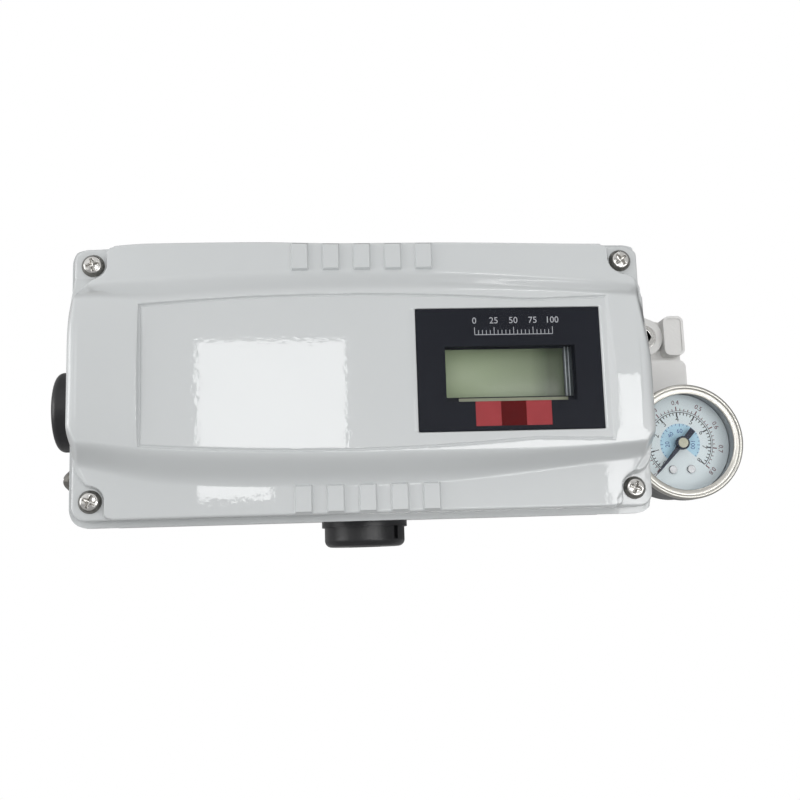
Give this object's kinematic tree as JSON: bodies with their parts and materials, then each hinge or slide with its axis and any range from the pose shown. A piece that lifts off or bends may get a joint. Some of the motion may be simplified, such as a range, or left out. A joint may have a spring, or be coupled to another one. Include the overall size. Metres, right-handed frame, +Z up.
{
  "type": "valve positioner",
  "caption": "Smart electro-pneumatic valve positioner: die-cast box with crowned cover, display window, air manifold with pressure gauge and rear feedback shaft.",
  "frame": {"origin": "on the feedback shaft's axis, in the plane of the rear mounting face", "axes": "+X to the right seen from the front, along the housing; +Y backwards out of the mounting face; +Z up; the cover faces -Y"},
  "size_m": [0.2532, 0.092, 0.1089],
  "materials": {
    "grey_paint": "gloss powder coat with orange peel",
    "cast_grey": "satin paint over a cast skin",
    "gasket_rubber": "matt",
    "nickel_steel": "nickel plated",
    "bright_bezel": "polished stainless",
    "clear_pane": "clear",
    "mask_black": "back-printed gloss black",
    "lcd_green": "reflective display",
    "board_green": "solder resist",
    "brass_turned": "turned",
    "key_white": "satin",
    "terminal_green": "satin",
    "plug_black": "satin moulded",
    "dial_white": "matt print",
    "pointer_blue": "matt",
    "bare_aluminium": "machined",
    "shaft_steel": "ground stainless",
    "dark_steel": "blackened",
    "coil_copper": "enamelled copper",
    "pot_blue": "satin"
  },
  "bodies": {
    "housing": {"base_housing": "grey_paint", "cover": "grey_paint", "cover_gasket": "gasket_rubber", "cover_screws": "nickel_steel", "window_pane": "clear_pane", "window_mask": "mask_black", "window_seal": "gasket_rubber", "lcd_frame": "mask_black", "lcd_glass": "lcd_green", "display_board": "board_green", "display_standoffs": "brass_turned", "key_bases": "plug_black", "main_board": "board_green", "board_standoffs": "brass_turned", "terminal_block": "terminal_green", "terminal_screws": "nickel_steel", "manifold": "cast_grey", "manifold_gasket": "gasket_rubber", "manifold_screws": "dark_steel", "gauge_port_plug": "nickel_steel", "gauge_stem": "brass_turned", "gauge_case": "dark_steel", "gauge_bezel": "bright_bezel", "gauge_lens": "clear_pane", "gauge_dial": "dial_white", "gauge_dial_screws": "nickel_steel", "gauge_movement": "brass_turned", "bourdon_tube": "coil_copper", "left_conduit_plug": "plug_black", "bottom_conduit_plug": "plug_black", "conduit_seals": "gasket_rubber", "earth_screw": "nickel_steel", "earth_washer": "nickel_steel", "shaft_bush": "brass_turned", "shaft_seal": "gasket_rubber", "potentiometer": "pot_blue", "potentiometer_bracket": "nickel_steel", "bracket_posts": "brass_turned", "pilot_body": "bare_aluminium", "nozzle": "brass_turned", "torque_motor_yoke": "dark_steel", "torque_motor_coil": "coil_copper"},
    "feedback_shaft": {"main_shaft": "shaft_steel", "shaft_circlip": "dark_steel", "main_gear": "brass_turned"},
    "pot_pinion": {"potentiometer_pinion": "brass_turned"},
    "pointer": {"gauge_pointer": "pointer_blue"},
    "up_key": {"key_up": "key_white"},
    "down_key": {"key_down": "key_white"},
    "enter_key": {"key_enter": "key_white"},
    "escape_key": {"key_escape": "key_white"},
    "pilot_spool": {"spool": "shaft_steel"},
    "flapper_arm": {"flapper": "shaft_steel"}
  },
  "joints": [
    {"name": "shaft_turn", "type": "hinge", "parent": "housing", "child": "feedback_shaft", "pos_m": [0, 0, 0], "axis": [0, 1, 0], "range_deg": [-45, 45]},
    {"name": "pinion_turn", "type": "hinge", "parent": "housing", "child": "pot_pinion", "pos_m": [-0.02771, -0.02, 0.016], "axis": [0, 1, 0], "range_deg": [-136, 136]},
    {"name": "pointer_turn", "type": "hinge", "parent": "housing", "child": "pointer", "pos_m": [0.1183, -0.049, -0.0244], "axis": [0, 1, 0], "range_deg": [0, 270]},
    {"name": "up_press", "type": "slide", "parent": "housing", "child": "up_key", "axis": [0, 1, 0], "range_m": [0, 0.0005], "stiffness_N_per_m": 400, "springref_m": -0.0005},
    {"name": "down_press", "type": "slide", "parent": "housing", "child": "down_key", "axis": [0, 1, 0], "range_m": [0, 0.0005], "stiffness_N_per_m": 400, "springref_m": -0.0005},
    {"name": "enter_press", "type": "slide", "parent": "housing", "child": "enter_key", "axis": [0, 1, 0], "range_m": [0, 0.0005], "stiffness_N_per_m": 400, "springref_m": -0.0005},
    {"name": "escape_press", "type": "slide", "parent": "housing", "child": "escape_key", "axis": [0, 1, 0], "range_m": [0, 0.0005], "stiffness_N_per_m": 400, "springref_m": -0.0005},
    {"name": "spool_slide", "type": "slide", "parent": "housing", "child": "pilot_spool", "axis": [0, 0, 1], "range_m": [-0.0015, 0.0015], "stiffness_N_per_m": 300},
    {"name": "flapper_tilt", "type": "hinge", "parent": "housing", "child": "flapper_arm", "pos_m": [0.0405, -0.022, 0.015], "axis": [0, 1, 0], "range_deg": [-0.8, 0.8], "stiffness_Nm_per_rad": 0.2}
  ],
  "couplings": [
    {"joint": "pinion_turn", "follows": "shaft_turn", "ratio": -3}
  ]
}
